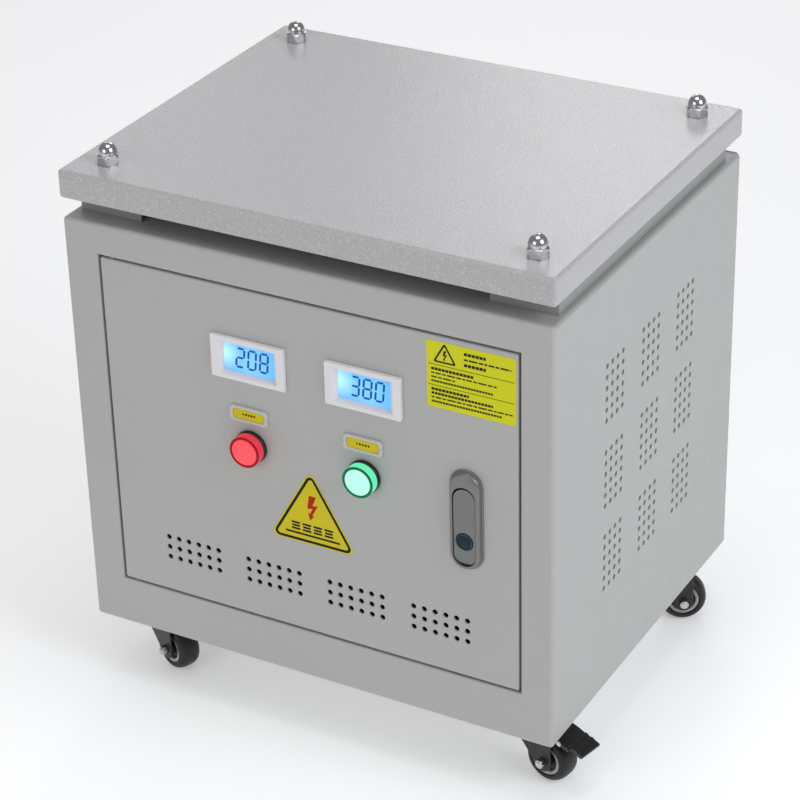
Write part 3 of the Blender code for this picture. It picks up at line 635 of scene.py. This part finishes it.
def add_lamps():
    for name, x, mats in (("red", LAMP_X[0], (RED_FACE, RED_WALL, RED_RING)),
                          ("green", LAMP_X[1], (GREEN_FACE, GREEN_WALL, GREEN_RING))):
        z, y = LAMP_Z, FRONT
        body = [(0, y + 38), (10.0, y + 38), (10.7, y + 37), (10.7, y - 0.1), (14.3, y - 0.1),
                (14.7, y - 0.5), (14.7, y - 3.0), (14.4, y - 3.7), (14.1, y - 4.0), (0, y - 4.0)]
        piece("lamp_holder_" + name, turned(body, (x, 0, z), "Y", 64), BLACK, "door",
              ("lamp_body_" + name,), sharp=30, weighted=False)
        wall = [(0, y - 4.1), (13.8, y - 4.1), (14.0, y - 4.4), (13.9, y - 11.6), (13.6, y - 12.2),
                (11.9, y - 12.3), (0, y - 12.3)]
        piece("lamp_glow_" + name, turned(wall, (x, 0, z), "Y", 64), mats[1], "door",
              ("lamp_lens_" + name,), sharp=30, weighted=False)
        ring = [(11.7, y - 12.35), (13.7, y - 12.25), (14.1, y - 12.0), (14.1, y - 12.5),
                (13.7, y - 12.9), (12.9, y - 13.0), (11.9, y - 12.75)]
        piece("lamp_rim_" + name, turned(ring, (x, 0, z), "Y", 64, ring=True), mats[2], "door",
              weighted=False)
        dome = [(0, y - 12.32), (11.6, y - 12.32)]
        dome += [(11.6 - 0.02 * t * t, y - 12.36 - 0.06 * t) for t in range(1, 7)]
        dome += [(9.0, y - 12.86), (6.0, y - 12.95), (3.0, y - 12.99), (0, y - 13.0)]
        piece("lamp_face_" + name, turned(dome, (x, 0, z), "Y", 64), mats[0], "door",
              weighted=False)


def triangle(side, radius, cx, base, steps=5):
    """Equilateral outline with round corners, standing on base; side is before rounding."""
    height = side * math.sqrt(3) / 2
    reach = height * 2 / 3 - 2 * radius
    points = []
    for angle in (90, 210, 330):
        a = math.radians(angle)
        mx, mz = cx + reach * math.cos(a), base + height / 3 + reach * math.sin(a)
        for i in range(steps + 1):
            b = math.radians(angle - 60 + 120 * i / steps)
            points.append((mx + radius * math.cos(b), mz + radius * math.sin(b)))
    return points


def print_mark(ink, outline, y):
    """Add one flat printed shape, a hair proud of the sticker."""
    loft(ink, [front(outline, y), front(outline, y - 0.05)])


BOLT = [(0.10, 1.00), (0.62, 1.00), (0.34, 0.62), (0.74, 0.66), (0.30, 0.22), (0.44, 0.20),
        (0.10, 0.0), (0.0, 0.34), (0.12, 0.28), (0.34, 0.50), (-0.06, 0.46)]


def bolt(cx, cz, height, y, bm):
    points = [(cx + (u - 0.3) * height * 0.54, cz + (v - 0.5) * height) for u, v in BOLT]
    print_mark(bm, points, y)
    return bm


TRI_SIDE, TRI_X, TRI_Z = 83.5, 3.6, 198.2
NOTICE_X, NOTICE_Z = (114.7, 192.7), (359.4, 418.2)
NOTICE_LINES = [(33, 52, 6.0, 2.6), (33, 74, 10.8, 1.5), (33, 52, 15.6, 2.6),   # start, end, drop,
                (4, 41, 24.6, 2.4), (4, 62, 28.3, 1.3), (4, 25, 31.8, 1.3),     # height of each bar
                (4, 58, 35.4, 1.8), (4, 37, 42.6, 2.4), (4, 58, 46.3, 2.2),
                (4, 75, 49.9, 1.3), (4, 66, 53.6, 1.8)]
STICKER_Y = FRONT - 0.02


def add_triangle_sticker():
    y = STICKER_Y
    bm = bmesh.new()
    slab(bm, lambda g: triangle(TRI_SIDE + 3.46 * g, 4.5, TRI_X, TRI_Z - g), y - 0.2, y)
    piece("sticker_triangle", bm, YELLOW, "door", weighted=False)
    line = bmesh.new()
    ring = [(79.0, 4.4, TRI_Z + 1.3, y - 0.2), (79.0, 4.4, TRI_Z + 1.3, y - 0.26),
            (70.6, 2.2, TRI_Z + 3.8, y - 0.26), (70.6, 2.2, TRI_Z + 3.8, y - 0.2)]
    loft(line, [front(triangle(s, r, TRI_X, b), d) for s, r, b, d in ring], ring=True)
    piece("sticker_triangle_line", line, BLACK_INK, "door", weighted=False)
    flash = bolt(TRI_X + 0.5, TRI_Z + 35.4, 24.0, y - 0.2, bmesh.new())
    piece("sticker_triangle_bolt", flash, RED_INK, "door", weighted=False)
    bars = bmesh.new()
    strokes = [(8.2 - k % 2, 1.9, TRI_X - 15.8 + 10.5 * i, TRI_Z + 18.2 - 2.9 * k)
               for i in range(4) for k in range(3)] + [(52.0, 1.9, TRI_X, TRI_Z + 8.4)]
    for w, h, cx, cz in strokes:
        print_mark(bars, rect(w, h, 0, cx, cz), y - 0.2)
    piece("sticker_triangle_bars", bars, BLACK_INK, "door", weighted=False)


def add_notice():
    """Notice plate: a small triangle and lines of plain blocks in place of writing."""
    y = STICKER_Y
    (x0, x1), (z0, z1) = NOTICE_X, NOTICE_Z
    cx, cz = (x0 + x1) / 2, (z0 + z1) / 2
    plate = bmesh.new()
    slab(plate, lambda g: rect(x1 - x0 + 2 * g, z1 - z0 + 2 * g, 1.0, cx, cz), y - 0.2, y)
    piece("sticker_notice", plate, LIME, "door", weighted=False)
    ink = bmesh.new()
    for k, (start, end, drop, high) in enumerate(NOTICE_LINES):
        large = high > 1.6
        x, i = start, 0
        while x < end - 1.0:
            wide = high * 1.1 if large else (5.0, 3.2, 7.4, 4.1, 2.6)[(i + k) % 5]
            a, b = x0 + x, x0 + min(x + wide, end)
            print_mark(ink, rect(b - a, high, 0, (a + b) / 2, z1 - drop), y - 0.2)
            x, i = x + wide + (0.5 if large else 1.0), i + 1
    for z in (z1 - 20.7, z1 - 39.1):
        print_mark(ink, rect(x1 - x0 - 3, 0.5, 0, cx, z), y - 0.2)
    icon = [(21.0, 1.4, z1 - 18.4, y - 0.2), (21.0, 1.4, z1 - 18.4, y - 0.25),
            (15.6, 0.7, z1 - 16.9, y - 0.25), (15.6, 0.7, z1 - 16.9, y - 0.2)]
    loft(ink, [front(triangle(s, r, x0 + 16.0, b), d) for s, r, b, d in icon], ring=True)
    bolt(x0 + 16.2, z1 - 11.8, 9.2, y - 0.2, ink)
    piece("sticker_notice_ink", ink, OLIVE_INK, "door", weighted=False)


# ---- latch --------------------------------------------------------------------------------------
def add_latch():
    top = FRONT - 6.0
    steps = [(30.0, 92.0, FRONT - 0.05), (30.0, 92.0, FRONT - 0.9), (29.4, 91.4, FRONT - 1.2),
             (28.2, 90.2, FRONT - 1.3), (27.9, 89.9, FRONT - 2.2), (27.2, 89.2, FRONT - 3.8),
             (25.8, 87.8, FRONT - 5.0), (23.8, 85.8, FRONT - 5.7), (21.0, 83.0, top)]
    bm = bmesh.new()
    loft(bm, [front(rect(w, h, w / 2 - 0.001, LATCH_X, LATCH_Z, 12), y) for w, h, y in steps])
    housing = piece("latch_body", bm, LATCH_CHROME, "door",
                    ("latch_housing",), sharp=42)
    plug = bmesh.new()
    loft(plug, [front(pocket(2.0), FRONT - 2.0), front(pocket(2.0), FRONT + 9.8)])
    cut(housing, [plug], "UNION")
    hollow = bmesh.new()
    loft(hollow, [front(pocket(0.0), FRONT - 12.0), front(pocket(0.0), FRONT + 7.6)])
    cut(housing, [hollow])
    round_edges(housing, 0.35, 2, 50)

    pivot_y = FRONT - 2.2
    reach = HANDLE_TOP - HANDLE_PIVOT
    back = 5.0
    side = [(back, 0.0), (4.4, -4.5), (2.6, -7.0), (0.4, -7.9), (-1.4, -7.5), (-2.4, -6.2),
            (-2.7, -4.0), (-2.9, reach * 0.35), (-3.0, reach * 0.6), (-2.8, reach + 2),
            (back, reach + 2)]
    body = bmesh.new()
    half = HANDLE_W / 2
    loft(body, [[(LATCH_X + x, pivot_y + a, HANDLE_PIVOT + b) for a, b in side]
                for x in (-half, half)])
    handle = piece("latch_lever", body, LATCH_GREY, "latch_handle",
                   ("latch_handle",), sharp=40)
    head = bmesh.new()
    outline = rect(HANDLE_W, HANDLE_TOP - HANDLE_FOOT, HANDLE_W / 2 - 0.001, LATCH_X,
                   (HANDLE_TOP + HANDLE_FOOT) / 2, 16)
    loft(head, [front(outline, pivot_y - 20), front(outline, pivot_y + 20)])
    cut(handle, [head], "INTERSECT")
    cut(handle, [turned([(8.1, pivot_y - 12), (8.1, pivot_y + 4.4)], (LATCH_X, 0, BUTTON_Z), "Y",
                        48)])
    round_edges(handle, 0.8, 3, 40)
    face = pivot_y - 3.9
    rim = [(6.3, pivot_y + 1.5), (7.6, pivot_y + 1.5), (7.6, face + 0.7), (7.3, face + 0.25),
           (6.8, face), (6.4, face + 0.15), (6.3, face + 0.5)]
    piece("latch_button_rim", turned(rim, (LATCH_X, 0, BUTTON_Z), "Y", 48, ring=True), TEAL_RIM,
          "latch_button", sharp=30, weighted=False)
    knob = [(0, pivot_y + 1.5), (6.2, pivot_y + 1.5), (6.2, face + 0.6), (5.8, face + 0.4),
            (0, face + 0.2)]
    piece("latch_push_button", turned(knob, (LATCH_X, 0, BUTTON_Z), "Y", 48), TEAL,
          "latch_button", ("latch_button",), sharp=30, weighted=False)


# ---- casters ------------------------------------------------------------------------------------
# corner: side in X, side in Y, heading in degrees, has a brake
CASTERS = {"fr": (1, -1, -12.4, True), "fl": (-1, -1, -23.0, False), "rr": (1, 1, 30.0, False),
           "rl": (-1, 1, 167.6, True)}
CASTER_X, CASTER_Y = 186.0, {-1: -132.2, 1: 130.8}
TRAIL, WHEEL_R, CROWN = 18.0, 21.5, 54.2


def add_caster(corner):
    sx, sy, heading, brake = CASTERS[corner]
    name = "caster_" + corner
    fixed = Matrix.Translation((sx * CASTER_X, CASTER_Y[sy], 0))
    at = fixed @ Matrix.Rotation(math.radians(heading), 4, "Z")
    swivel, wheel = name + "_swivel", name + "_wheel"

    top = CASE_Z[0] - 0.3
    plate = bmesh.new()
    outline = rect(44, 54, 4.0, 0, 0, 6)
    loft(plate, [[(u, v, z) for u, v in outline] for z in (top - 2.5, top)])
    base = piece(name + "_mount", plate, CASTER_BLACK, "cabinet",
                 (name + "_plate",), bevel=0.5, place=fixed)
    race = turned([(0, 54.6), (14.6, 54.6), (15.6, 55.2), (17.2, 58.0), (17.4, 60.4), (16.6, 61.0),
                   (0, 61.0)], (0, 0, 0), "Z", 48)
    race.transform(fixed)
    cut(base, [race], "UNION")
    bolts = bmesh.new()
    for bx in (-15.5, 15.5):
        for by in (-20.5, 20.5):
            turned([(0, top - 2.4), (4.6, top - 2.4, 4.0), (4.6, top - 4.8, 4.0),
                    (4.0, top - 5.4, 4.0), (0, top - 5.4)], (bx, by, 0), "Z", 24, bm=bolts)
    piece(name + "_bolts", bolts, STEEL, "cabinet", place=fixed, weighted=False)

    arc = [(TRAIL + 9.0 * math.cos(math.radians(a)), WHEEL_R + 9.0 * math.sin(math.radians(a)))
           for a in range(192, 352, 12)]
    outline = [(-18.0, CROWN), (-18.0, CROWN - 5.0)] + arc + [(26.0, CROWN - 7.0), (21.0, CROWN)]
    fork = bmesh.new()
    loft(fork, [[(u, v, z) for u, z in outline] for v in (-14.2, 14.2)])
    arms = piece(name + "_fork_arms", fork, CASTER_BLACK, swivel,
                 (name + "_fork",), bevel=0.9, place=at)
    hollow = block((-30, -12.0, -5), (50, 12.0, CROWN - 3.0))
    bore = turned([(2.8, -30), (2.8, 30)], (TRAIL, 0, WHEEL_R), "Y", 24)
    for tool in (hollow, bore):
        tool.transform(at)
    cut(arms, [hollow, bore])

    for side in (-1, 1):
        end = 14.5
        nut = [(0, end), (4.4, end, 3.8), (4.5, end + 0.4, 3.8), (4.5, end + 3.4, 3.8),
               (3.9, end + 4.2, 3.8), (2.8, end + 4.3), (2.6, end + 5.2), (0, end + 5.4)]
        nut = [(p[0], p[1] * side, *p[2:]) for p in nut]
        piece(f"{name}_nut_{'a' if side < 0 else 'b'}",
              turned(nut, (TRAIL, 0, WHEEL_R), "Y", 48), STEEL, swivel, place=at,
              sharp=30, weighted=False)
    shaft = turned([(0, -14.4), (2.5, -14.4), (2.5, 14.4), (0, 14.4)], (TRAIL, 0, WHEEL_R), "Y", 24)
    piece(name + "_pin", shaft, STEEL, swivel, (name + "_axle",), place=at,
          weighted=False)

    ring = [(11.4, -9.2), (13.9, -9.5), (14.15, -9.2), (14.15, 9.2), (13.9, 9.5), (11.4, 9.2),
            (11.2, 8.6), (11.2, -8.6)]
    piece(name + "_rim", turned(ring, (TRAIL, 0, WHEEL_R), "Y", 72, ring=True), RIM_GREY, wheel,
          (name + "_hub",), place=at, sharp=30, weighted=False)
    core = [(2.75, -10.8), (5.6, -10.8), (6.2, -10.2), (6.6, -7.2), (10.6, -6.8), (11.1, -7.2),
            (11.1, 7.2), (10.6, 6.8), (6.6, 7.2), (6.2, 10.2), (5.6, 10.8), (2.75, 10.8)]
    piece(name + "_hub_core", turned(core, (TRAIL, 0, WHEEL_R), "Y", 72, ring=True), BLACK, wheel,
          place=at, sharp=30, weighted=False)
    tread = [(14.25, -9.3), (14.9, -10.3), (15.8, -10.6), (17.2, -10.4), (18.6, -9.7),
             (19.8, -8.5), (20.7, -6.8), (21.25, -4.8), (21.5, -2.4), (21.5, 2.4), (21.25, 4.8),
             (20.7, 6.8), (19.8, 8.5), (18.6, 9.7), (17.2, 10.4), (15.8, 10.6), (14.9, 10.3),
             (14.25, 9.3)]
    piece(name + "_tread", turned(tread, (TRAIL, 0, WHEEL_R), "Y", 96, ring=True), RUBBER, wheel,
          (name + "_tyre",), place=at, sharp=40, weighted=False)
    if brake:
        add_pedal(name, at)


def add_pedal(name, at):
    z = CROWN - 5.5
    side = [(16.5, z - 1.6), (28.5, z - 0.6), (44.0, z - 5.2), (55.5, z - 8.6), (57.4, z - 7.6),
            (57.6, z - 5.8), (56.4, z - 4.8), (52.0, z - 3.4), (50.6, z - 2.2), (49.0, z - 1.9),
            (47.8, z - 2.4), (46.0, z - 1.8), (44.6, z - 0.5), (43.0, z - 0.2), (41.8, z - 0.8),
            (34.0, z + 1.8), (27.8, z + 3.3), (27.0, z + 1.6), (16.5, z + 1.6)]
    bm = bmesh.new()
    loft(bm, [[(u, v, w) for u, w in side] for v in (-13.6, 13.6)])
    pedal = piece(name + "_pedal", bm, CASTER_BLACK, name + "_brake",
                  (name + "_brake_pedal",), bevel=0.6, place=at)
    necks = [block((10.0, lo, z - 20), (27.6, hi, z + 20))
             for lo, hi in ((-30.0, -10.6), (10.6, 30.0))]
    necks.append(block((44.0, -30.0, z - 20), (70.0, -10.4, z + 20)))
    for tool in necks:
        tool.transform(at)
    cut(pedal, necks)
    rivet = turned([(0, -13.4), (2.6, -13.4), (2.6, -14.0), (1.9, -14.6), (0, -14.9)],
                   (35.0, 0, z - 0.6), "Y", 24)
    piece(name + "_rivet", rivet, CHROME, name + "_brake", place=at, weighted=False)


# ---- carried-over CAD nodes ----------------------------------------------------------------------
def finish_nodes():
    # top_collar takes the darker paint as painted shade under the lid.
    looks = {"top_collar": PAINT_IN_SHADE, "core_clamp_front": PAINT_IN_SHADE,
             "core_clamp_rear": PAINT_IN_SHADE, "transformer_core": IRON, "coil_a": COPPER,
             "coil_b": COPPER, "coil_c": COPPER, "terminal_block": BLACK,
             "hinge_pin_top": STEEL, "hinge_pin_bottom": STEEL, "latch_bolt": STEEL}
    for name, obj in NODES.items():
        if obj.hide_render:
            continue
        for slot in obj.material_slots:
            slot.material = looks[name]
        round_edges(obj, 0.4, 2, 40)


# ---- floor and light -----------------------------------------------------------------------------
LIGHTS = [                           # place in metres, size in metres, watts, colour
    ("overhead", (0.1, -0.1, 2.8), (1.4, 1.4), 16.0, (1.0, 1.0, 1.0)),
    ("right_box", (2.1, -0.4, 1.7), (1.4, 1.4), 25.5, (0.89, 0.94, 1.0)),
    ("front_box", (-0.8, -3.0, 1.6), (2.0, 1.6), 19.0, (1.0, 1.0, 0.97)),
    ("back_box", (-0.94, 2.58, 1.71), (0.8, 0.8), 7.5, (1.0, 0.98, 1.0)),
    ("left_card", (-2.5, 2.8, 2.0), (1.3, 1.1), 7.0, (1.0, 0.97, 1.0))]


def add_light(name, at, target, size, power, colour):
    data = bpy.data.lights.new(name, "AREA")
    data.shape, data.size, data.size_y = "RECTANGLE", size[0], size[1]
    data.energy, data.color = power, colour
    lamp = bpy.data.objects.new(name, data)
    bpy.context.scene.collection.objects.link(lamp)
    lamp.location = at
    lamp.rotation_mode = "QUATERNION"
    lamp.rotation_quaternion = (Vector(target) - Vector(at)).to_track_quat("-Z", "Y")


def add_studio():
    bm = bmesh.new()
    bmesh.ops.create_grid(bm, x_segments=1, y_segments=1, size=9.0)
    mesh = bpy.data.meshes.new("studio_floor")
    bm.to_mesh(mesh)
    bm.free()
    mesh.materials.append(surface("floor_white", (0.90, 0.90, 0.90), 0.75, tint=0.005,
                                  tint_scale=1.0, light=((0.98, 0.99, 1.0), 0.3)))
    floor = bpy.data.objects.new("studio_floor", mesh)
    floor.location.z = -0.0003
    bpy.context.scene.collection.objects.link(floor)

    world = bpy.data.worlds.new("studio")
    bpy.context.scene.world = world
    world.use_nodes = True
    world.node_tree.nodes["Background"].inputs["Color"].default_value = (0.97, 0.98, 1.0, 1.0)
    world.node_tree.nodes["Background"].inputs["Strength"].default_value = 0.30
    for name, at, size, power, colour in LIGHTS:
        add_light(name, at, (0, 0, 0.25), size, power, colour)


add_camera()
add_case()
add_lid()
add_glands()
add_door()
add_meters()
add_labels()
add_lamps()
add_triangle_sticker()
add_notice()
add_latch()
for corner in CASTERS:
    add_caster(corner)
finish_nodes()
add_studio()

view = bpy.context.scene.view_settings
view.view_transform, view.look, view.exposure, view.gamma = "Standard", "None", 0.0, 1.0
